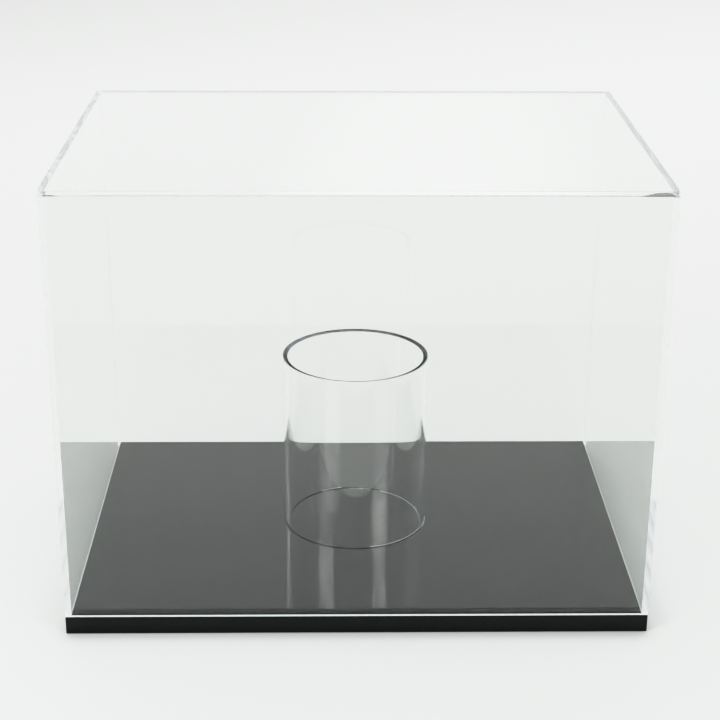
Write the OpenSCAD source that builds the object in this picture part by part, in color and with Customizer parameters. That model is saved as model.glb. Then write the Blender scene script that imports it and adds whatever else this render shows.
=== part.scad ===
// Display case: a clear acrylic cover of five cemented sheets, standing on a
// stepped gloss black base, with a clear tube in the middle as a riser.
// Millimetres. +Z is up, the front faces -Y, and the origin is on the resting
// plane under the middle of the case.

/* [Cover] */
// Outside width of the cover and of the base slab
case_w = 300; // [200:5:450]
// Outside depth of the cover and of the base slab
case_d = 216; // [150:1:320]
// Height of the cover, from the base slab to its top face
cover_h = 226; // [140:1:350]
// Thickness of the clear sheet
sheet_t = 3; // [2:0.5:5]
// Width of the scraped arris along the cover's outer edges
cover_arris = 0.1; // [0.1:0.1:0.8]

/* [Base] */
// Thickness of the black base slab
slab_t = 9.7; // [5:0.1:12]
// Width of the polished arris along the slab's edges
slab_arris = 0.3; // [0.2:0.1:1.2]
// Thickness of the black deck that locates the cover
deck_t = 3; // [2:0.5:5]
// Width of the polished arris round the top of the deck
deck_arris = 0.3; // [0.2:0.1:0.8]
// Clearance between the deck and the cover's inner faces, on each side
deck_gap = 0.8; // [0.3:0.1:1]

/* [Riser tube] */
// Outside diameter of the riser tube
riser_od = 80; // [50:1:110]
// Wall thickness of the riser tube
riser_wall = 2.5; // [2.5:0.5:4]
// Height of the riser tube above the deck
riser_h = 100; // [40:5:120]
// Width of the bevel that slopes inward from the riser tube's rim
riser_bevel = 2; // [0.4:0.1:2]
// How far that bevel has dropped where it meets the bore
riser_drop = 0.7; // [0.2:0.1:1.5]
// Width of the eased outer edge of the riser tube's rim
riser_arris = 0.1; // [0.1:0.1:0.4]

/* [Feet] */
// Diameter of each stick-on pad that serves as a foot
foot_d = 10; // [6:1:20]
// Thickness of each stick-on pad
foot_t = 0.3; // [0.3:0.1:3]
// Distance from the slab's sides to each foot's centre
foot_inset = 14; // [12:1:30]
// Width of the eased lower edge of each foot
foot_edge = 0.1; // [0.1:0.1:0.2]

/* [Hidden] */

// Levels, from the resting plane up
slab_z = foot_t;
deck_z = slab_z + slab_t;
riser_z = deck_z + deck_t;
cover_z = deck_z;
roof_z = cover_z + cover_h - sheet_t;

// The deck fills the cover's mouth, less its clearance
deck_w = case_w - 2 * (sheet_t + deck_gap);
deck_d = case_d - 2 * (sheet_t + deck_gap);

foot_x = case_w / 2 - foot_inset;
foot_y = case_d / 2 - foot_inset;

// How far a cutting block runs past the form that it trims
past = 2;

round_fn = 96;

black = [0.05, 0.05, 0.055];
clear = [0.86, 0.92, 0.94, 0.35];
rubber = [0.12, 0.12, 0.12];

// A rectangle about the origin, with each corner cut back by the arris
module arris_rectangle(a, b, arris) {
    x = a / 2;
    y = b / 2;
    polygon([[x - arris, -y], [x, arris - y], [x, y - arris], [x - arris, y],
             [arris - x, y], [-x, y - arris], [-x, arris - y], [arris - x, -y]]);
}

// A block standing on z = 0 with a flat arris along all twelve edges: it is
// what its plan, its elevation and its end view have in common
module arris_block(w, d, h, arris) {
    intersection() {
        linear_extrude(h) arris_rectangle(w, d, arris);
        translate([0, 0, h / 2]) rotate([90, 0, 0])
            linear_extrude(d, center = true) arris_rectangle(w, h, arris);
        translate([0, 0, h / 2]) rotate([90, 0, 90])
            linear_extrude(w, center = true) arris_rectangle(d, h, arris);
    }
}

// The outer form of the whole cover. Each sheet is cut from it, so that the
// arrises run on from sheet to sheet across the cemented joints
module cover_form() {
    translate([0, 0, cover_z])
        arris_block(case_w, case_d, cover_h, cover_arris);
}

module cover_sheet(low, high) {
    color(clear) intersection() {
        cover_form();
        translate(low) cube(high - low);
    }
}

// The roof lies on all four walls
module top_panel() {
    cover_sheet([-case_w / 2 - past, -case_d / 2 - past, roof_z],
                [case_w / 2 + past, case_d / 2 + past, roof_z + sheet_t + past]);
}

// The end walls run the whole depth. Side is -1 on the left and 1 on the right
module end_panel(side) {
    inner = case_w / 2 - sheet_t;
    outer = case_w / 2 + past;
    cover_sheet([side < 0 ? -outer : inner, -case_d / 2 - past, cover_z - past],
                [side < 0 ? -inner : outer, case_d / 2 + past, roof_z]);
}

// The front and back walls stand between the end walls. Side is -1 at the front
module long_panel(side) {
    across = case_w / 2 - sheet_t;
    inner = case_d / 2 - sheet_t;
    outer = case_d / 2 + past;
    cover_sheet([-across, side < 0 ? -outer : inner, cover_z - past],
                [across, side < 0 ? -inner : outer, roof_z]);
}

module front_panel() { long_panel(-1); }

module back_panel() { long_panel(1); }

module left_panel() { end_panel(-1); }

module right_panel() { end_panel(1); }

module base_slab() {
    color(black) translate([0, 0, slab_z])
        arris_block(case_w, case_d, slab_t, slab_arris);
}

// The deck's lower edge is square, where it is cemented to the slab
module base_deck() {
    color(black) intersection() {
        translate([0, 0, deck_z - past])
            arris_block(deck_w, deck_d, deck_t + past, deck_arris);
        translate([-case_w / 2, -case_d / 2, deck_z])
            cube([case_w, case_d, deck_t + past]);
    }
}

// Turned from its section: square where it is cemented to the deck, and at the
// rim that the exhibit rests on a shallow bevel inside and an eased edge outside
module riser_tube() {
    outer = riser_od / 2;
    inner = outer - riser_wall;
    color(clear) translate([0, 0, riser_z])
        rotate_extrude($fn = round_fn)
            polygon([[inner, 0], [outer, 0],
                     [outer, riser_h - riser_arris], [outer - riser_arris, riser_h],
                     [inner + riser_bevel, riser_h], [inner, riser_h - riser_drop]]);
}

// A disc die-cut from rubber sheet, with its lower edge eased
module foot(side_x, side_y) {
    foot_r = foot_d / 2;
    color(rubber) translate([side_x * foot_x, side_y * foot_y, 0])
        rotate_extrude($fn = round_fn)
            polygon([[0, 0], [foot_r - foot_edge, 0], [foot_r, foot_edge],
                     [foot_r, foot_t], [0, foot_t]]);
}

module foot_front_left() { foot(-1, -1); }

module foot_front_right() { foot(1, -1); }

module foot_back_left() { foot(-1, 1); }

module foot_back_right() { foot(1, 1); }

base_slab();
base_deck();
riser_tube();
top_panel();
front_panel();
back_panel();
left_panel();
right_panel();
foot_front_left();
foot_front_right();
foot_back_left();
foot_back_right();
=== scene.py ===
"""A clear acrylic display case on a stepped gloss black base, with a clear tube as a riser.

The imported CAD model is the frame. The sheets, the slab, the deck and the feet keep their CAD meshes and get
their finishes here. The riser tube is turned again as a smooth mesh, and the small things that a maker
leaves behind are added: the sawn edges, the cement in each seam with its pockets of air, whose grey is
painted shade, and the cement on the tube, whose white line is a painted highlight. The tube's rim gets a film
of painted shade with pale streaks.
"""
from __future__ import annotations

import logging
import math
from dataclasses import dataclass, field
from enum import Enum

import bpy
import bmesh
from mathutils import Matrix, Vector

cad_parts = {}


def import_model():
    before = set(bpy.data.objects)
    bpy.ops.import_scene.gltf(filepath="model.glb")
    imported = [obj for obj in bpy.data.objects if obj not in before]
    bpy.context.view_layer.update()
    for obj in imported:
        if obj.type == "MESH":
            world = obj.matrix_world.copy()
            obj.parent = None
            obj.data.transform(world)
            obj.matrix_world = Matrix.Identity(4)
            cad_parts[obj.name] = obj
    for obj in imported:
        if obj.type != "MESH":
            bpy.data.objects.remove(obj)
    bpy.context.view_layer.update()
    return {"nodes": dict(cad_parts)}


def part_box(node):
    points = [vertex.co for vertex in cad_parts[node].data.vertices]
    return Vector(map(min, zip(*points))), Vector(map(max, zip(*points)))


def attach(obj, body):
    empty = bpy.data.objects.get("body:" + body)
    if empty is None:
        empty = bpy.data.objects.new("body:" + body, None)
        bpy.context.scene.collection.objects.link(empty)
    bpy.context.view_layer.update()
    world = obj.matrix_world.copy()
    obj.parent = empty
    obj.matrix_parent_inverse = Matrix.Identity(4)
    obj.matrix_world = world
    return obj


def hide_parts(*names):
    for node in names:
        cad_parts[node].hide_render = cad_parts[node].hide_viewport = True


LOG = logging.getLogger("display_case")
MM = 0.001

# The two kinds of node that most trees use
MATH = "ShaderNodeMath"
RANGE = "ShaderNodeMapRange"

# The colour sockets of a Mix node go by number, because its sockets share their names
FIRST_COLOUR, SECOND_COLOUR, MIXED_COLOUR = 6, 7, 2

Span = tuple[float, float]
Point = tuple[float, float, float]
Colour = tuple[float, float, float, float]


# ---------------------------------------------------------------- named options


class Wall(Enum):
    """The four upright sheets of the cover, by node name."""

    FRONT = "front_panel"
    BACK = "back_panel"
    LEFT = "left_panel"
    RIGHT = "right_panel"


class Haze(Enum):
    """How the cement dried in a seam of the roof."""

    PATCHY = "patchy"
    STREAKED = "streaked"
    EVEN = "even"
    LINE = "line"


# ---------------------------------------------------------------- small tools


def linear(hex_colour: str) -> Colour:
    """Turn an sRGB hex colour into linear light.

    Args:
        hex_colour: Six hex digits, with or without a leading #.

    Returns:
        Red, green, blue and an alpha of 1.
    """
    digits = hex_colour.lstrip("#")
    channels = [int(digits[i:i + 2], 16) / 255 for i in (0, 2, 4)]
    red, green, blue = (c / 12.92 if c <= 0.04045 else ((c + 0.055) / 1.055) ** 2.4 for c in channels)
    return (red, green, blue, 1.0)


def add_node(tree: bpy.types.NodeTree, kind: str, inputs: list | dict | None = None,
             **settings: object) -> bpy.types.Node:
    """Add a node to a tree, with its settings and links.

    Args:
        tree: The shader or geometry tree.
        kind: The node's Blender type name.
        inputs: What its sockets take, as a list in their order, or as a dict by their names or numbers. A
            node feeds a socket from its first output, an output feeds it as it is, and the rest are values.
        settings: The node's own properties, such as operation.

    Returns:
        The new node.
    """
    node = tree.nodes.new(kind)
    for name, value in settings.items():
        setattr(node, name, value)
    feeds = inputs if isinstance(inputs, dict) else dict(enumerate(inputs or ()))
    for name, value in feeds.items():
        source = value.outputs[0] if isinstance(value, bpy.types.Node) else value
        if isinstance(source, bpy.types.NodeSocket):
            tree.links.new(source, node.inputs[name])
        else:
            node.inputs[name].default_value = source
    return node


def place_on_piece(tree: bpy.types.NodeTree) -> tuple[bpy.types.NodeSocket, ...]:
    """Read where a point lies on its own piece.

    Args:
        tree: The material's tree.

    Returns:
        Its X, its Y and its Z.
    """
    place = add_node(tree, "ShaderNodeTexCoord").outputs["Object"]
    return tuple(add_node(tree, "ShaderNodeSeparateXYZ", [place]).outputs)


def grain(tree: bpy.types.NodeTree, sizes: Point, detail: float = 2.0) -> bpy.types.Node:
    """Make a cloudy pattern with its own grain size along each axis.

    Args:
        tree: The material's tree.
        sizes: Grain size along X, Y and Z in metres.
        detail: How many finer octaves the pattern has.

    Returns:
        The noise node, whose first output is about 0.5 on average.
    """
    place = add_node(tree, "ShaderNodeTexCoord").outputs["Object"]
    scaled = add_node(tree, "ShaderNodeMapping", {
        "Vector": place, "Scale": tuple(1 / size for size in sizes)})
    return add_node(tree, "ShaderNodeTexNoise", {"Vector": scaled, "Scale": 1.0, "Detail": detail})


def thin_film(tree: bpy.types.NodeTree, share: float | bpy.types.Node,
              colour: Colour | bpy.types.NodeSocket) -> bpy.types.Node:
    """Make a film that covers what lies behind it by a share, and is clear for the rest.

    Args:
        tree: The material's tree.
        share: How much of what lies behind is covered, from 0 to 1.
        colour: The film's own matte colour.

    Returns:
        The film's shader node.
    """
    clear = add_node(tree, "ShaderNodeBsdfTransparent")
    veil = add_node(tree, "ShaderNodeBsdfDiffuse", {"Color": colour})
    return add_node(tree, "ShaderNodeMixShader", [share, clear, veil])


def dress(obj: bpy.types.Object, material: bpy.types.Material) -> None:
    """Give an object one material in every slot.

    Args:
        obj: The object.
        material: Its material.
    """
    if not obj.data.materials:
        obj.data.materials.append(material)
    for index in range(len(obj.data.materials)):
        obj.data.materials[index] = material
    LOG.info("dressed %s in %s", obj.name, material.name)


def add_box(made: bmesh.types.BMesh, low: Vector, high: Vector) -> None:
    """Add a closed box to a mesh.

    Args:
        made: The mesh.
        low: Lowest corner.
        high: Highest corner.
    """
    corners = [made.verts.new((x, y, z)) for z in (low.z, high.z)
               for x, y in ((low.x, low.y), (high.x, low.y), (high.x, high.y), (low.x, high.y))]
    made.faces.new(corners[3::-1])
    made.faces.new(corners[4:])
    for i in range(4):
        j = (i + 1) % 4
        made.faces.new((corners[i], corners[j], corners[j + 4], corners[i + 4]))


def finished(name: str, made: bmesh.types.BMesh) -> bpy.types.Object:
    """Turn a bmesh into an object of the scene, at the origin, and free it.

    Args:
        name: The object's name.
        made: The mesh.

    Returns:
        The object.
    """
    mesh = bpy.data.meshes.new(name)
    made.to_mesh(mesh)
    made.free()
    obj = bpy.data.objects.new(name, mesh)
    bpy.context.scene.collection.objects.link(obj)
    return obj


def enlist(piece: bpy.types.Object, body: str) -> None:
    """Let a finished piece ride on a body, and log it.

    Args:
        piece: The piece.
        body: The CAD body that it moves with.
    """
    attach(piece, body)
    LOG.info("made %s, %d faces, on %s", piece.name, len(piece.data.polygons), body)


class Grower:
    """A Geometry Nodes tree with named inputs, grown on an object's mesh and turned into plain faces."""

    KINDS = {int: "NodeSocketInt", float: "NodeSocketFloat", bpy.types.Material: "NodeSocketMaterial"}

    def __init__(self, name: str, values: dict[str, object]) -> None:
        """Make the tree's frame.

        Args:
            name: The tree's name.
            values: Input name to value. The type of each value sets its socket, and Finish is a material.
        """
        self.values = values
        self.tree = bpy.data.node_groups.new(name, "GeometryNodeTree")
        self.tree.is_modifier = True
        face = self.tree.interface
        face.new_socket(name="Geometry", in_out="OUTPUT", socket_type="NodeSocketGeometry")
        face.new_socket(name="Geometry", in_out="INPUT", socket_type="NodeSocketGeometry")
        for label, value in values.items():
            face.new_socket(name=label, in_out="INPUT", socket_type=self.KINDS[type(value)])
        self.inputs = add_node(self.tree, "NodeGroupInput").outputs

    def add(self, kind: str, inputs: list | dict | None = None, **settings: object) -> bpy.types.Node:
        """Add a node to this tree, as add_node does."""
        return add_node(self.tree, kind, inputs, **settings)

    def grow(self, obj: bpy.types.Object, geometry: bpy.types.Node) -> None:
        """End the tree, run it on an object and keep the result as the object's plain mesh.

        Args:
            obj: The object whose mesh the tree starts from. It is left with no modifier.
            geometry: The tree's last geometry.
        """
        real = self.add("GeometryNodeRealizeInstances", [geometry])
        coated = self.add("GeometryNodeSetMaterial", {"Geometry": real, "Material": self.inputs["Finish"]})
        self.add("NodeGroupOutput", [coated])
        modifier = obj.modifiers.new(self.tree.name, "NODES")
        modifier.node_group = self.tree
        for item in self.tree.interface.items_tree:
            if item.in_out == "INPUT" and item.name in self.values:
                modifier[item.identifier] = self.values[item.name]
        graph = bpy.context.evaluated_depsgraph_get()
        mesh = bpy.data.meshes.new_from_object(obj.evaluated_get(graph))
        obj.modifiers.remove(modifier)
        bare = obj.data
        obj.data = mesh
        bpy.data.meshes.remove(bare)


# ---------------------------------------------------------------- finishes


class Finish:
    """What every finish shares: it has a name and a surface, and builds one material from them."""

    name: str

    def surface(self, tree: bpy.types.NodeTree) -> bpy.types.Node:
        """Build the surface. Each finish has its own."""
        raise NotImplementedError

    def build(self) -> bpy.types.Material:
        """Build the material.

        Returns:
            A new material with nothing in it but this surface.
        """
        material = bpy.data.materials.new(self.name)
        material.use_nodes = True
        tree = material.node_tree
        tree.nodes.clear()
        add_node(tree, "ShaderNodeOutputMaterial", [self.surface(tree)])
        return material


@dataclass(frozen=True)
class ClearAcrylic(Finish):
    """Cast acrylic sheet or tube with polished faces.

    It gives the eye almost nothing but its reflections, and the bright and dark lines of its edges. Where
    the sheets are cemented, the joint is optically closed, so light runs on through it unbent. A tube has
    no seams, so it leaves seam_z out.

    Attributes:
        tint: Colour of the light that the camera sees through each face.
        pass_tint: The same for the light of the lamps and the room, which goes straight through.
        seam_z: Level of the roof's lower face.
        seam_x: Half the distance between the end walls' inner faces.
        seam_y: Half the distance between the front and back walls' inner faces.
        seam_tolerance: How far off a face may lie and still be cemented.
    """

    name: str = "clear_cast_acrylic"
    tint: str = "#FBFCFB"
    ior: float = 1.49
    pass_tint: str = "#F9FAFA"
    seam_z: float | None = None
    seam_x: float = 0.0
    seam_y: float = 0.0
    seam_tolerance: float = 0.01 * MM

    def surface(self, tree: bpy.types.NodeTree) -> bpy.types.Node:
        """Build the sheet's faces.

        Args:
            tree: The material's tree.

        Returns:
            Glass to the camera and to mirrors, and a plain clear pane to lamps and to the room's light.
        """
        glass = add_node(tree, "ShaderNodeBsdfPrincipled", {
            "Base Color": linear(self.tint), "Roughness": 0.0, "IOR": self.ior, "Transmission Weight": 1.0})
        pane = add_node(tree, "ShaderNodeBsdfTransparent", {"Color": linear(self.pass_tint)})
        path = add_node(tree, "ShaderNodeLightPath").outputs
        lamps = add_node(tree, MATH, [path["Is Shadow Ray"], path["Is Diffuse Ray"]], operation="MAXIMUM")
        sheet = add_node(tree, "ShaderNodeMixShader", [lamps, glass, pane])
        if self.seam_z is None:
            return sheet
        joined = add_node(tree, "ShaderNodeBsdfTransparent")
        return add_node(tree, "ShaderNodeMixShader", [self._seams(tree), sheet, joined])

    def _seams(self, tree: bpy.types.NodeTree) -> bpy.types.Node:
        """Find the faces that are cemented to another sheet.

        Args:
            tree: The material's tree.

        Returns:
            A node that gives 1 on a cemented face and 0 elsewhere.
        """
        slack = self.seam_tolerance
        x, y, z = place_on_piece(tree)
        across = add_node(tree, MATH, [x], operation="ABSOLUTE")
        deep = add_node(tree, MATH, [y], operation="ABSOLUTE")
        over_ends = add_node(tree, MATH, [across, self.seam_x - slack], operation="GREATER_THAN")
        over_fronts = add_node(tree, MATH, [deep, self.seam_y - slack], operation="GREATER_THAN")
        over_walls = add_node(tree, MATH, [over_ends, over_fronts], operation="MAXIMUM")
        at_roof = add_node(tree, MATH, [z, self.seam_z, slack], operation="COMPARE")
        roof = add_node(tree, MATH, [at_roof, over_walls], operation="MULTIPLY")
        at_end = add_node(tree, MATH, [across, self.seam_x, slack], operation="COMPARE")
        below_roof = add_node(tree, MATH, [z, self.seam_z], operation="LESS_THAN")
        upright = add_node(tree, MATH, [at_end, over_fronts], operation="MULTIPLY")
        corner = add_node(tree, MATH, [upright, below_roof], operation="MULTIPLY")
        return add_node(tree, MATH, [roof, corner], operation="MAXIMUM")


@dataclass(frozen=True)
class SawnEdge(Finish):
    """The cut edge of clear sheet as the saw left it: a frosted white face with fine saw marks.

    It gives the eye the white line between the clear walls and the black slab. The marks are drawn about
    three times as wide as a fine saw leaves them, because they would not show otherwise.
    """

    name: str = "sawn_acrylic_edge"
    colour: str = "#FAFBFC"
    shade: str = "#E4E6E8"
    mark_spacing: float = 1.2 * MM
    mark_length: float = 4.0 * MM
    mark_range: Span = (0.35, 0.65)

    def surface(self, tree: bpy.types.NodeTree) -> bpy.types.Node:
        """Build the frosted face.

        Args:
            tree: The material's tree.

        Returns:
            The face's matte shader.
        """
        marks = grain(tree, (self.mark_spacing, self.mark_spacing, self.mark_length))
        share = add_node(tree, RANGE, [marks, *self.mark_range, 0.0, 1.0])
        colour = add_node(tree, "ShaderNodeMix", {
            0: share, FIRST_COLOUR: linear(self.shade), SECOND_COLOUR: linear(self.colour)},
            data_type="RGBA")
        return add_node(tree, "ShaderNodeBsdfDiffuse", {"Color": colour.outputs[MIXED_COLOUR]})


@dataclass(frozen=True)
class CementBeadHighlight(Finish):
    """A thin bead of dried cement at the tube's foot, with a painted highlight.

    It gives the eye a fine white line to the right of a border across the tube, which is a painted highlight
    for the light from the right that the bead mirrors, and a white patch at the back, which can be broken
    into dots. Elsewhere it is clear.

    Attributes:
        border_x: Where the painted highlight's border crosses the tube's middle.
        border_lean: How far the border moves to the left for each metre further back.
        patch: Left and right end of the patch at the back.
        patch_breaks: From 0 for a whole patch towards 1 for a few dots.
        border_soft: Half the width over which the painted highlight fades out at the border.
        dot_size: Size of the patch's dots.
        dot_soft: How softly a dot ends, in the same measure as patch_breaks.
    """

    name: str
    border_x: float
    border_lean: float
    patch: Span
    patch_breaks: float
    colour: str = "#F8FAFA"
    border_soft: float = 1.0 * MM
    dot_size: float = 1.1 * MM
    dot_soft: float = 0.05

    def surface(self, tree: bpy.types.NodeTree) -> bpy.types.Node:
        """Build the bead's film, with its painted highlight.

        Args:
            tree: The material's tree.

        Returns:
            The film, which is clear away from the painted highlight and the patch.
        """
        across, deep, _ = place_on_piece(tree)
        place = add_node(tree, MATH, [deep, self.border_lean, across], operation="MULTIPLY_ADD")
        # painted highlight: white to the right of the border, for the light from the right that the bead
        # mirrors
        thick = add_node(tree, RANGE, [
            place, self.border_x - self.border_soft, self.border_x + self.border_soft, 0.0, 1.0])
        left, right = self.patch
        middle, half = (left + right) / 2, (right - left) / 2
        between = add_node(tree, MATH, [across, middle, half], operation="COMPARE")
        behind = add_node(tree, MATH, [deep, 0.0], operation="GREATER_THAN")
        patch = add_node(tree, MATH, [between, behind], operation="MULTIPLY")
        dots = add_node(tree, RANGE, [
            grain(tree, (self.dot_size,) * 3, detail=1.0),
            self.patch_breaks, self.patch_breaks + self.dot_soft, 0.0, 1.0])
        broken = add_node(tree, MATH, [patch, dots], operation="MULTIPLY")
        share = add_node(tree, MATH, [thick, broken], operation="MAXIMUM")
        return thin_film(tree, share, linear(self.colour))


@dataclass(frozen=True)
class RimShadeAndStreaks(Finish):
    """A film on the tube's rim of painted shade and pale streaks.

    It gives the eye a dark rim from the sides forward, which is painted shade for the dark that the light
    turning inside the tube's wall brings there, and a few milky streaks at the back left.

    Attributes:
        front_y: From where to where, going forward, the painted shade thickens.
        side_x: From where to where, going out to either side, the painted shade thickens.
        milk_x: From where to where, going left, the milk thickens.
        milk_y: From where to where, going back, the milk thickens.
        streak: Size of the milky streaks.
        streak_range: Range of the streaks' pattern that is used.
        streak_least: What is left of the milk between the streaks.
    """

    name: str = "rim_shade_and_streaks"
    # painted shade: the dark colour of the rim, and the pale colour of the streaks at the back left
    rim_shade_colour: str = "#191B28"
    milk: str = "#C6C6D0"
    rim_shade_share: float = 0.42
    milk_share: float = 0.30
    front_y: Span = (6.0 * MM, -14.0 * MM)
    side_x: Span = (16.0 * MM, 28.0 * MM)
    milk_x: Span = (-15.0 * MM, -25.0 * MM)
    milk_y: Span = (4.0 * MM, 12.0 * MM)
    streak: float = 1.6 * MM
    streak_range: Span = (0.4, 0.6)
    streak_least: float = 0.3

    def surface(self, tree: bpy.types.NodeTree) -> bpy.types.Node:
        """Build the painted shade and the streaks as a film.

        Args:
            tree: The material's tree.

        Returns:
            The film, which is clear where there is neither painted shade nor streak.
        """
        across, deep, _ = place_on_piece(tree)
        aside = add_node(tree, MATH, [across], operation="ABSOLUTE")
        side = add_node(tree, RANGE, [aside, *self.side_x, 0.0, 1.0])
        # painted shade: a dark film from the sides forward, standing in for the dark that light inside the
        # tube's wall brings
        front = add_node(tree, RANGE, [deep, *self.front_y, 0.0, self.rim_shade_share])
        shaded = add_node(tree, MATH, [side, front], operation="MULTIPLY")
        left = add_node(tree, RANGE, [across, *self.milk_x, 0.0, 1.0])
        back = add_node(tree, RANGE, [deep, *self.milk_y, 0.0, self.milk_share])
        corner = add_node(tree, MATH, [left, back], operation="MULTIPLY")
        streaks = add_node(tree, RANGE, [
            grain(tree, (self.streak,) * 3), *self.streak_range, self.streak_least, 1.0])
        milky = add_node(tree, MATH, [corner, streaks], operation="MULTIPLY")
        share = add_node(tree, MATH, [shaded, milky], operation="MAXIMUM")
        milkier = add_node(tree, MATH, [milky, shaded], operation="GREATER_THAN")
        colour = add_node(tree, "ShaderNodeMix", {
            0: milkier, FIRST_COLOUR: linear(self.rim_shade_colour), SECOND_COLOUR: linear(self.milk)},
            data_type="RGBA")
        return thin_film(tree, share, colour.outputs[MIXED_COLOUR])


@dataclass(frozen=True)
class TubeSeat(Finish):
    """The cemented foot of the tube: with no air left in the joint, the black of the deck shows through.

    It gives the eye the fine dark ring on the deck.
    """

    name: str = "tube_seat"
    colour: str = "#050505"

    def surface(self, tree: bpy.types.NodeTree) -> bpy.types.Node:
        """Build the dark seat."""
        return add_node(tree, "ShaderNodeBsdfDiffuse", {"Color": linear(self.colour)})


@dataclass(frozen=True)
class Drying:
    """How thick the cement dried in a seam.

    Attributes:
        patch: Size of its patches along X, Y and Z.
        share: Least and greatest share of the light that a patch covers.
    """

    patch: Point
    share: Span


DRYING = {
    Haze.PATCHY: Drying((2.2 * MM, 11.0 * MM, 4.0 * MM), (0.06, 0.66)),
    Haze.STREAKED: Drying((1.0 * MM, 28.0 * MM, 1.0 * MM), (0.12, 0.66)),
    Haze.EVEN: Drying((40.0 * MM, 40.0 * MM, 40.0 * MM), (0.24, 0.30)),
    Haze.LINE: Drying((40.0 * MM, 40.0 * MM, 40.0 * MM), (0.308, 0.44))}


@dataclass(frozen=True)
class Cement(Finish):
    """Dried solvent cement in a seam of the roof.

    It gives the eye a thin bloom between grey and violet, patchy or drawn out in streaks. In the side seams
    it shows through the roof's top face, and the light that runs along inside the roof slips by it. Along
    the front it is a fine grey line, which grows darker from line_x on by line_growth.
    """

    haze: Haze
    colour: str = "#A3A7A4"
    tint: str = "#A8A6B4"
    tint_size: float = 7.0 * MM
    tint_range: Span = (0.45, 0.55)
    patch_range: Span = (0.40, 0.60)
    line_x: Span = (60.0 * MM, 120.0 * MM)
    line_growth: float = 1.6

    @property
    def name(self) -> str:
        """Name the material after how the cement dried."""
        return f"{self.haze.value}_cement"

    def surface(self, tree: bpy.types.NodeTree) -> bpy.types.Node:
        """Build the bloom as a film.

        Args:
            tree: The material's tree.

        Returns:
            The film, which is clear where there is no bloom.
        """
        hue = add_node(tree, RANGE, [grain(tree, (self.tint_size,) * 3), *self.tint_range, 0.0, 1.0])
        colour = add_node(tree, "ShaderNodeMix", {
            0: hue, FIRST_COLOUR: linear(self.colour), SECOND_COLOUR: linear(self.tint)}, data_type="RGBA")
        return thin_film(tree, self._share(tree), colour.outputs[MIXED_COLOUR])

    def _share(self, tree: bpy.types.NodeTree) -> bpy.types.Node:
        """Work out how much the bloom covers.

        Args:
            tree: The material's tree.

        Returns:
            A node that gives the share.
        """
        drying = DRYING[self.haze]
        share = add_node(tree, RANGE, [grain(tree, drying.patch), *self.patch_range, *drying.share])
        if self.haze is Haze.LINE:
            across, _, _ = place_on_piece(tree)
            growth = add_node(tree, RANGE, [across, *self.line_x, 1.0, self.line_growth])
            return add_node(tree, MATH, [share, growth], operation="MULTIPLY")
        if self.haze in (Haze.PATCHY, Haze.STREAKED):
            entering = add_node(tree, "ShaderNodeLightPath").outputs["Is Transmission Ray"]
            return add_node(tree, MATH, [share, entering], operation="MULTIPLY")
        return share


@dataclass(frozen=True)
class AirPocketShade(Finish):
    """A flat pocket of air in a seam, with painted shade: a grey film stands for the grey lens that the air
    makes by turning the light away.
    """

    name: str = "trapped_air_shade"
    # painted shade: the grey that the air shows by turning the light away
    colour: str = "#55585C"
    share: float = 0.43

    def surface(self, tree: bpy.types.NodeTree) -> bpy.types.Node:
        """Build the pocket's film of painted shade."""
        return thin_film(tree, self.share, linear(self.colour))


@dataclass(frozen=True)
class BlackAcrylic(Finish):
    """Gloss black cast acrylic with polished faces and edges.

    It gives the eye a deep black that shows little but what it mirrors. Wide, faint smears from wiping make
    the mirror a little softer in places.
    """

    name: str = "gloss_black_acrylic"
    colour: str = "#090A0D"
    ior: float = 1.49
    polished: float = 0.003
    wiped: float = 0.01
    smear: Point = (35.0 * MM, 14.0 * MM, 35.0 * MM)
    smear_range: Span = (0.4, 0.7)

    def surface(self, tree: bpy.types.NodeTree) -> bpy.types.Node:
        """Build the gloss."""
        roughness = add_node(tree, RANGE, [
            grain(tree, self.smear), *self.smear_range, self.polished, self.wiped])
        return add_node(tree, "ShaderNodeBsdfPrincipled", {
            "Base Color": linear(self.colour), "IOR": self.ior, "Roughness": roughness})


@dataclass(frozen=True)
class FootRubber(Finish):
    """Thin black rubber, die-cut from sheet. It gives the eye a matte dark grey with a faint grain."""

    name: str = "black_foot_rubber"
    colour: str = "#1A1A1A"
    roughness: float = 0.8
    grain_size: float = 0.3 * MM
    grain_depth: float = 0.05 * MM
    grain_strength: float = 0.3

    def surface(self, tree: bpy.types.NodeTree) -> bpy.types.Node:
        """Build the matte face."""
        bump = add_node(tree, "ShaderNodeBump", {
            "Height": grain(tree, (self.grain_size,) * 3), "Strength": self.grain_strength,
            "Distance": self.grain_depth})
        return add_node(tree, "ShaderNodeBsdfPrincipled", {
            "Base Color": linear(self.colour), "Roughness": self.roughness, "Normal": bump})


@dataclass(frozen=True)
class StudioPaper(Finish):
    """Plain pale background paper, with painted shade at its near end.

    It gives the eye an even pale floor, whose near end is painted darker, as shade where it runs out of the
    light.

    Attributes:
        shade_fade: From which Y to which the painted shade at the near end comes in.
    """

    name: str = "studio_paper"
    colour: str = "#EBEDEB"
    near_painted_shade: str = "#B4B6B8"
    shade_fade: Span = (-0.32, -0.58)

    def surface(self, tree: bpy.types.NodeTree) -> bpy.types.Node:
        """Build the matte paper.

        Args:
            tree: The material's tree.

        Returns:
            The paper's matte shader.
        """
        _, deep, _ = place_on_piece(tree)
        # painted shade: the paper darkens towards its near end
        share = add_node(tree, RANGE, [deep, *self.shade_fade, 0.0, 1.0])
        colour = add_node(tree, "ShaderNodeMix", {
            0: share, FIRST_COLOUR: linear(self.colour), SECOND_COLOUR: linear(self.near_painted_shade)},
            data_type="RGBA")
        return add_node(tree, "ShaderNodeBsdfDiffuse", {"Color": colour.outputs[MIXED_COLOUR]})


# ---------------------------------------------------------------- sub-assemblies


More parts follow.
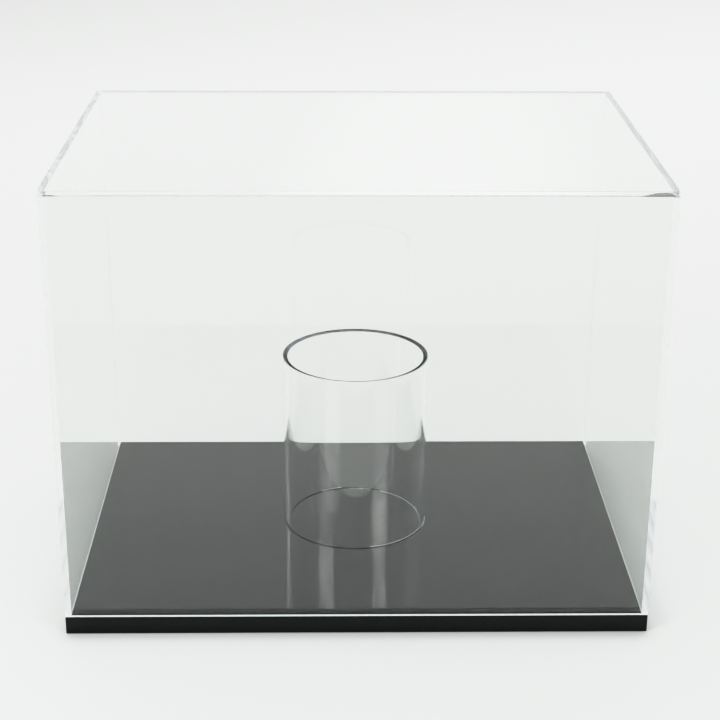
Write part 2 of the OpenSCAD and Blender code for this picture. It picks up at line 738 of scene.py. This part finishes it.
@dataclass(frozen=True)
class Pocket:
    """One flat pocket of air, lens-shaped from the front: straight below, and swelling to a peak above.

    Attributes:
        left: Its left end.
        right: Its right end.
        floor: Height of its straight edge over the roof's lower face.
        height: Height of its peak over that edge.
        peak: How far along from the left it is highest, from 0 to 1.
        fullness: Under 1, the sides bulge a little more than a sine wave's.
        steps: How many steps its upper edge has.
    """

    left: float
    right: float
    floor: float
    height: float
    peak: float
    fullness: float = 0.9
    steps: int = 24

    def outline(self) -> list[Span]:
        """List the outline from the left end, along the top, and back along the floor.

        Returns:
            X and Z of each point, with the steps drawn together towards both ends.
        """
        top = []
        for i in range(1, self.steps):
            along = 0.5 - 0.5 * math.cos(math.pi * i / self.steps)
            swell = along / self.peak if along < self.peak else (1 - along) / (1 - self.peak)
            rise = math.sin(math.pi / 2 * swell) ** self.fullness
            top.append((self.left + (self.right - self.left) * along, self.floor + self.height * rise))
        return top + [(self.right, self.floor), (self.left, self.floor)]

    def add(self, made: bmesh.types.BMesh, front: float, thick: float, level: float) -> None:
        """Add the pocket to a mesh as a closed plate.

        Args:
            made: The mesh.
            front: Y of the plate's front face.
            thick: The plate's thickness.
            level: Z of the roof's lower face.
        """
        points = self.outline()
        near = [made.verts.new((x, front, level + z)) for x, z in points]
        far = [made.verts.new((x, front + thick, level + z)) for x, z in points]
        made.faces.new(near[::-1])
        made.faces.new(far)
        for i in range(len(points)):
            j = (i + 1) % len(points)
            made.faces.new((near[i], near[j], far[j], far[i]))


@dataclass
class Cover:
    """The lift-off cover: five clear sheets cemented edge to face.

    Attributes:
        nodes: The CAD nodes' objects by name.
        film: Thickness of the cement, and of the sawn face on the walls' lower edges.
        inset: How far the cement stays inside the sheets' outer faces.
        edge_inset: How far the sawn face stays inside the walls' faces.
        haze: How the cement dried over each wall.
        creep: How far the cement crept up inside the roof's outer side, over the end walls.
        creep_start: How far behind the front corners it starts to creep.
        line: Lower and upper edge of the grey line at the front, over the roof's lower face.
        pocket_depth: How far the pockets of air lie behind the roof's front face.
        pocket_thick: Thickness of the pockets of air.
        pockets: The pockets of air, at the front seam's two ends.
    """

    nodes: dict[str, bpy.types.Object]
    body: str = "cover"
    slot: str = "clear_sheet"
    roof: str = "top_panel"
    film: float = 0.02 * MM
    inset: float = 0.03 * MM
    edge_inset: float = 0.008 * MM
    haze: dict[Wall, Haze] = field(default_factory=lambda: {
        Wall.FRONT: Haze.LINE, Wall.BACK: Haze.EVEN, Wall.LEFT: Haze.PATCHY, Wall.RIGHT: Haze.STREAKED})
    creep: float = 2.7 * MM
    creep_start: float = 10.0 * MM
    line: Span = (0.06 * MM, 0.38 * MM)
    pocket_depth: float = 0.5 * MM
    pocket_thick: float = 0.04 * MM
    pockets: tuple[Pocket, ...] = (
        Pocket(left=131.4 * MM, right=148.0 * MM, floor=0.34 * MM, height=2.10 * MM, peak=0.72),
        Pocket(left=-147.3 * MM, right=-139.6 * MM, floor=0.36 * MM, height=0.85 * MM, peak=0.16),
        Pocket(left=148.2 * MM, right=149.3 * MM, floor=1.75 * MM, height=1.10 * MM, peak=0.5))

    def make(self) -> None:
        """Dress the sheets and add what the saw and the cement left."""
        self._sheets()
        self._sawn_edges()
        for wall in self.haze:
            self._cement_film(wall)
        self._pockets()

    def _sheets(self) -> None:
        """Dress the five sheets in one acrylic that knows its seams."""
        roof_low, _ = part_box(self.roof)
        _, front_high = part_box(Wall.FRONT.value)
        acrylic = ClearAcrylic(seam_z=roof_low.z, seam_x=front_high.x, seam_y=-front_high.y).build()
        for name in (self.roof, *(wall.value for wall in Wall)):
            dress(self.nodes[name], acrylic)

    def _sawn_edges(self) -> None:
        """Frost the walls' lower edges, which were left as sawn and stand on the slab."""
        made = bmesh.new()
        for wall in Wall:
            low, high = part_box(wall.value)
            start = low.z + self.film
            add_box(made, Vector((low.x + self.edge_inset, low.y + self.edge_inset, start)),
                    Vector((high.x - self.edge_inset, high.y - self.edge_inset, start + self.film)))
        edges = finished("sawn_lower_edges", made)
        dress(edges, SawnEdge().build())
        enlist(edges, self.body)

    def _cement_film(self, wall: Wall) -> None:
        """Lay the dried cement between the roof and one wall.

        Over a wall whose cement is a line, it is an upright strip at the wall's inner face. Over an end
        wall it has also crept up the roof's outer side.

        Args:
            wall: The wall under the seam.
        """
        within = Vector((self.inset, self.inset, 0))
        low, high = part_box(wall.value)
        low, high = low + within, high - within
        haze = self.haze[wall]
        start, stop = high.z + self.film, high.z + 2 * self.film
        if haze is Haze.LINE:
            low.y, high.y = high.y, high.y + self.film
            start, stop = (high.z + edge for edge in self.line)
        made = bmesh.new()
        add_box(made, Vector((low.x, low.y, start)), Vector((high.x, high.y, stop)))
        if wall in (Wall.LEFT, Wall.RIGHT):
            outer = low.x if wall is Wall.LEFT else high.x - self.film
            add_box(made, Vector((outer, low.y + self.creep_start, stop)),
                    Vector((outer + self.film, high.y, stop + self.creep)))
        seam = finished(f"roof_cement_{wall.name.lower()}", made)
        dress(seam, Cement(haze).build())
        enlist(seam, self.body)

    def _pockets(self) -> None:
        """Let in the flat pockets of air that show through the roof's front edge, each a film of painted
        shade.
        """
        roof_low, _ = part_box(self.roof)
        made = bmesh.new()
        for pocket in self.pockets:
            pocket.add(made, roof_low.y + self.pocket_depth, self.pocket_thick, roof_low.z)
        air = finished("air_pockets", made)
        dress(air, AirPocketShade().build())
        enlist(air, self.body)


@dataclass
class Riser:
    """The clear tube that carries the exhibit, turned again from its CAD section with a smooth wall.

    Attributes:
        steps: How many steps the turned wall has.
        wall: Thickness of the tube's wall.
        bevel: Width of the bevel that slopes inward from the rim.
        bevel_drop: How far that bevel has dropped where it meets the bore.
        arris: Width of the eased outer edge of the rim.
        crease_deg: From this bend on, an edge stays sharp.
        film: Thickness of the seat and of the rim's film of painted shade, and how far each lies off the face
            that it is on.
        film_inset: How far the seat and the rim's film stay inside the wall's faces.
        rim_film_width: How far the rim's film of painted shade reaches outward from the bore.
        bead: Width of the beads of cement.
        bead_height: Height of the beads of cement.
    """

    body: str = "base"
    slot: str = "clear_tube"
    steps: int = 256
    wall: float = 2.5 * MM
    bevel: float = 2.0 * MM
    bevel_drop: float = 0.7 * MM
    arris: float = 0.1 * MM
    crease_deg: float = 20.0
    film: float = 0.02 * MM
    film_inset: float = 0.05 * MM
    rim_film_width: float = 1.85 * MM
    bead: float = 0.08 * MM
    bead_height: float = 0.32 * MM
    outer_bead: CementBeadHighlight = CementBeadHighlight(
        name="riser_outer_bead_highlight", border_x=37.4 * MM, border_lean=0.0,
        patch=(-20.0 * MM, -8.0 * MM), patch_breaks=0.0)
    inner_bead: CementBeadHighlight = CementBeadHighlight(
        name="riser_inner_bead_highlight", border_x=12.0 * MM, border_lean=-0.11,
        patch=(-3.0 * MM, 10.0 * MM), patch_breaks=0.5)

    def make(self) -> None:
        """Turn the tube, its cemented foot and the film of painted shade and pale streaks on its rim."""
        low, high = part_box("riser_tube")
        outer = high.x
        inner = outer - self.wall
        self._tube(inner, outer, low.z, high.z)
        self._ring("riser_seat", inner + self.film_inset, outer - self.film_inset,
                   low.z + self.film, low.z + 2 * self.film, TubeSeat())
        self._rim_films(inner, high.z)
        for bead, radius in ((self.outer_bead, outer), (self.inner_bead, inner - self.bead)):
            self._ring(bead.name, radius, radius + self.bead, low.z, low.z + self.bead_height, bead)

    def _tube(self, inner: float, outer: float, foot: float, rim: float) -> None:
        """Turn the tube itself, which stands for its CAD node.

        Args:
            inner: Radius of its bore.
            outer: Radius of its outside.
            foot: Level of its foot.
            rim: Level of its rim.
        """
        tube = self._turned("riser_tube_turned", [
            (inner, foot), (outer, foot), (outer, rim - self.arris), (outer - self.arris, rim),
            (inner + self.bevel, rim), (inner, rim - self.bevel_drop)],
            ClearAcrylic(name="clear_acrylic_tube", tint="#FEFEFE"))
        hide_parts("riser_tube")

    def _rim_films(self, inner: float, rim: float) -> None:
        """Turn the film of painted shade and pale streaks just over the rim's bevel.

        Args:
            inner: Radius of the tube's bore.
            rim: Level of the tube's rim.
        """
        slope = self.bevel_drop / self.bevel
        start = rim - self.bevel_drop + self.film
        edges = [(inner + out, start + slope * out) for out in (self.film_inset, self.rim_film_width)]
        # painted shade and pale streaks, as a thin film on the rim's bevel
        self._turned("riser_rim_shade_and_streaks", [
            *edges, *((radius, height + self.film) for radius, height in reversed(edges))], RimShadeAndStreaks())

    def _ring(self, name: str, inner: float, outer: float, low: float, high: float, finish: Finish) -> None:
        """Turn a ring with a rectangular section, from its two radii and its two levels."""
        self._turned(name, [(inner, low), (outer, low), (outer, high), (inner, high)], finish)

    def _turned(self, name: str, section: list[Span], finish: Finish) -> bpy.types.Object:
        """Turn a closed section about the Z axis, as a piece that rides on the base.

        Args:
            name: The piece's name.
            section: Radius and height of each corner, going round with the solid on the left.
            finish: The piece's finish.

        Returns:
            The turned piece.
        """
        made = bmesh.new()
        start = section[0][0]
        corners = [made.verts.new((radius - start, -height, 0)) for radius, height in reversed(section)]
        for i, corner in enumerate(corners):
            made.edges.new((corner, corners[(i + 1) % len(corners)]))
        piece = finished(name, made)
        lathe = Grower(f"{name}_lathe", {
            "Radius": start, "Steps": self.steps, "Crease": math.radians(self.crease_deg),
            "Finish": finish.build()})
        path = lathe.add("GeometryNodeCurvePrimitiveCircle", {
            "Resolution": lathe.inputs["Steps"], "Radius": lathe.inputs["Radius"]})
        outline = lathe.add("GeometryNodeMeshToCurve", [lathe.inputs["Geometry"]])
        swept = lathe.add("GeometryNodeCurveToMesh", {"Curve": path, "Profile Curve": outline})
        bend = lathe.add("GeometryNodeInputMeshEdgeAngle").outputs["Unsigned Angle"]
        flat = lathe.add(MATH, [bend, lathe.inputs["Crease"]], operation="LESS_THAN")
        smooth = lathe.add("GeometryNodeSetShadeSmooth", {0: swept, "Shade Smooth": True}, domain="FACE")
        creased = lathe.add("GeometryNodeSetShadeSmooth", {0: smooth, "Shade Smooth": flat}, domain="EDGE")
        lathe.grow(piece, creased)
        enlist(piece, self.body)
        return piece


@dataclass
class Base:
    """The stepped black base and its feet.

    Attributes:
        nodes: The CAD nodes' objects by name.
        sheets: The two black sheets' names.
        feet: The four feet's names.
    """

    nodes: dict[str, bpy.types.Object]
    sheets: tuple[str, ...] = ("base_slab", "base_deck")
    feet: tuple[str, ...] = ("foot_front_left", "foot_front_right", "foot_back_left", "foot_back_right")

    def make(self) -> None:
        """Dress the slab, the deck and the feet."""
        for names, finish in ((self.sheets, BlackAcrylic()), (self.feet, FootRubber())):
            material = finish.build()
            for name in names:
                dress(self.nodes[name], material)


# ---------------------------------------------------------------- studio


@dataclass(frozen=True)
class Softbox:
    """One rectangular softbox, which hangs at a distance from the case and is aimed at a point.

    Attributes:
        azimuth: Degrees, 0 behind the case and growing clockwise from above, so 180 is the viewer's side.
        elevation: Degrees over the floor, from the case.
        radiance: How bright its face is.
        width: Width of its face.
        height: Height of its face.
        distance: How far it hangs from the case.
        aim: The point that it faces, which is the case's own place if nothing else is said.
    """

    name: str
    azimuth: float
    elevation: float
    radiance: float
    width: float
    height: float
    distance: float = 1.5
    aim: Point = (0.0, 0.0, 0.0)

    def make(self) -> None:
        """Hang the softbox, out of the camera's sight."""
        lamp = bpy.data.lights.new(self.name, "AREA")
        lamp.shape = "RECTANGLE"
        lamp.size = self.width
        lamp.size_y = self.height
        lamp.energy = self.radiance * math.pi * self.width * self.height
        obj = bpy.data.objects.new(lamp.name, lamp)
        bpy.context.scene.collection.objects.link(obj)
        azimuth, elevation = math.radians(self.azimuth), math.radians(self.elevation)
        way = Vector((math.sin(azimuth) * math.cos(elevation),
                      math.cos(azimuth) * math.cos(elevation), math.sin(elevation)))
        obj.location = self.distance * way
        obj.rotation_euler = (Vector(self.aim) - obj.location).to_track_quat("-Z", "Y").to_euler()
        obj.visible_camera = False
        LOG.info("hung %s", self.name)


@dataclass
class Studio:
    """Pale paper under a dome that is brightest behind the case, and softboxes in front, behind and above.

    Attributes:
        floor_radius: Radius of the round sheet of paper.
        floor_steps: How many steps its edge has.
        dome_front: Strength of the dome's light from the viewer's side.
        dome_back: Strength of the dome's light from behind the case.
        behind: Where the glow along the horizon starts and is full, as the Y of a direction.
        horizon_glow: Strength of that glow.
        horizon_rise: Where it starts to fade and is gone, as the Z of a direction.
        lit_way: Direction of the bright patch high behind the case.
        lit_glow: Strength of that patch.
        lit_reach_deg: How far from its middle the patch ends, and how far it is full.
    """

    floor_radius: float = 12.0
    floor_steps: int = 96
    dome_front: float = 0.22
    dome_back: float = 0.94
    dome_colour: str = "#FDFFFD"
    behind: Span = (0.2, 0.7)
    horizon_glow: float = 0.05
    horizon_rise: Span = (0.20, 0.34)
    lit_way: Point = (0.065, 0.951, 0.300)
    lit_glow: float = 0.26
    lit_reach_deg: Span = (6.5, 1.0)
    boxes: tuple[Softbox, ...] = (
        Softbox("softbox_left", azimuth=-131.5, elevation=33.0, radiance=10.8, width=0.57, height=0.28),
        Softbox("softbox_left_low", azimuth=-131.5, elevation=24.2, radiance=4.5, width=0.57, height=0.17),
        Softbox("softbox_right", azimuth=140.0, elevation=21.9, radiance=6.9, width=0.66, height=0.34),
        Softbox("softbox_back_left", azimuth=-30.0, elevation=26.0, radiance=1.05, width=0.20, height=0.50),
        Softbox("softbox_above", azimuth=-4.0, elevation=61.0, radiance=1.95, width=1.6, height=1.1,
                distance=1.9),
        Softbox("softbox_far_floor", azimuth=52.0, elevation=48.0, radiance=3.9, width=2.4, height=0.8,
                distance=2.6, aim=(1.8, 4.2, 0.0)))

    def make(self) -> None:
        """Make the floor, the dome and the softboxes."""
        self._floor()
        self._dome()
        for box in self.boxes:
            box.make()

    def _floor(self) -> None:
        """Lay the paper, as one wide round sheet under the case."""
        made = bmesh.new()
        bmesh.ops.create_circle(made, cap_ends=True, radius=self.floor_radius, segments=self.floor_steps)
        floor = finished("studio_floor", made)
        dress(floor, StudioPaper().build())

    def _dome(self) -> None:
        """Light the room softly from all round, most of all from behind the case."""
        world = bpy.data.worlds.new("studio_dome")
        bpy.context.scene.world = world
        world.use_nodes = True
        tree = world.node_tree
        tree.nodes.clear()
        way = add_node(tree, "ShaderNodeTexCoord").outputs["Generated"]
        split = add_node(tree, "ShaderNodeSeparateXYZ", [way]).outputs
        wide = add_node(tree, RANGE, [split["Y"], -1.0, 1.0, self.dome_front, self.dome_back])
        behind = add_node(tree, RANGE, [split["Y"], *self.behind, 0.0, self.horizon_glow])
        low = add_node(tree, RANGE, [split["Z"], *self.horizon_rise, 1.0, 0.0])
        horizon = add_node(tree, MATH, [behind, low], operation="MULTIPLY")
        near = add_node(tree, "ShaderNodeVectorMath", [way, Vector(self.lit_way).normalized()],
                        operation="DOT_PRODUCT").outputs["Value"]
        edge, full = (math.cos(math.radians(angle)) for angle in self.lit_reach_deg)
        patch = add_node(tree, RANGE, [near, edge, full, 0.0, self.lit_glow])
        room = add_node(tree, MATH, [wide, horizon], operation="ADD")
        strength = add_node(tree, MATH, [room, patch], operation="ADD")
        glow = add_node(tree, "ShaderNodeBackground", [linear(self.dome_colour), strength])
        add_node(tree, "ShaderNodeOutputWorld", [glow])
        LOG.info("lit %s", world.name)


@dataclass
class Camera:
    """The camera, a little left of the middle and looking down on the case from in front.

    Attributes:
        place: Where its lens is.
        turn_deg: How far it is turned to the right of straight ahead.
        down_deg: How far it looks down.
        roll_deg: How far it leans over.
        sees: The nearest and the furthest that it sees.
    """

    place: Point = (-0.01324, -0.85296, 0.44616)
    turn_deg: float = 1.064
    down_deg: float = 21.560
    roll_deg: float = 0.326
    lens_mm: float = 82.876
    sensor_mm: float = 36.0
    sees: Span = (0.05, 60.0)

    def make(self) -> None:
        """Make the camera and put the scene in its charge."""
        data = bpy.data.cameras.new("camera")
        data.lens = self.lens_mm
        data.sensor_width = self.sensor_mm
        data.clip_start, data.clip_end = self.sees
        camera = bpy.data.objects.new("camera", data)
        bpy.context.scene.collection.objects.link(camera)
        camera.matrix_world = Matrix.Translation(self.place) @ self._axes()
        bpy.context.scene.camera = camera

    def _axes(self) -> Matrix:
        """Work out the camera's own axes.

        Returns:
            Its rotation, as a matrix whose columns are its right, its up and its back.
        """
        turn, down, roll = (math.radians(angle) for angle in (self.turn_deg, self.down_deg, self.roll_deg))
        ahead = Vector((math.sin(turn) * math.cos(down), math.cos(turn) * math.cos(down), -math.sin(down)))
        level = Vector((math.cos(turn), -math.sin(turn), 0))
        upright = level.cross(ahead)
        right = math.cos(roll) * level + math.sin(roll) * upright
        up = -math.sin(roll) * level + math.cos(roll) * upright
        return Matrix((right, up, -ahead)).transposed().to_4x4()


@dataclass(frozen=True)
class PrintCurve:
    """How the picture is printed: deep blacks, and whites that close up softly, as product pictures are.

    Attributes:
        points: Light of the scene to light of the print, from black to the brightest.
    """

    points: tuple[Span, ...] = (
        (0.0, 0.0), (0.02, 0.008), (0.036, 0.0155), (0.07, 0.042), (0.10, 0.075), (0.133, 0.112),
        (0.16, 0.150), (0.25, 0.27), (0.40, 0.50), (0.50, 0.62), (0.66, 0.77), (0.78, 0.835),
        (0.90, 0.885), (1.0, 0.92), (1.3, 0.97), (1.8, 1.0))

    def apply(self) -> None:
        """Set the scene's view transform and its curve, which takes linear light to linear light."""
        view = bpy.context.scene.view_settings
        view.view_transform = "Standard"
        view.use_curve_mapping = True
        mapping = view.curve_mapping
        mapping.use_clip = False
        curve = mapping.curves[3]
        curve.points[0].location = self.points[0]
        curve.points[1].location = self.points[-1]
        for point in self.points[1:-1]:
            curve.points.new(*point)
        mapping.update()


@dataclass(frozen=True)
class LightPaths:
    """How often light may turn before it is lost, so that it can run along a sheet and out at its edge.

    Attributes:
        through: Turns through and inside the acrylic.
        matte: Turns off matte faces.
        films: Clear films and seams that it may cross.
    """

    through: int = 160
    matte: int = 4
    films: int = 64

    def apply(self) -> None:
        """Set the scene's limits."""
        limits = bpy.context.scene.cycles
        limits.max_bounces = self.through
        limits.transmission_bounces = self.through
        limits.glossy_bounces = self.through
        limits.diffuse_bounces = self.matte
        limits.transparent_max_bounces = self.films


def main() -> None:
    """Build the case in its studio."""
    logging.basicConfig(level=logging.INFO, format="%(name)s: %(message)s")
    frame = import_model()
    LightPaths().apply()
    PrintCurve().apply()
    Camera().make()
    Studio().make()
    Base(frame["nodes"]).make()
    Riser().make()
    Cover(frame["nodes"]).make()


if __name__ == "__main__":
    main()
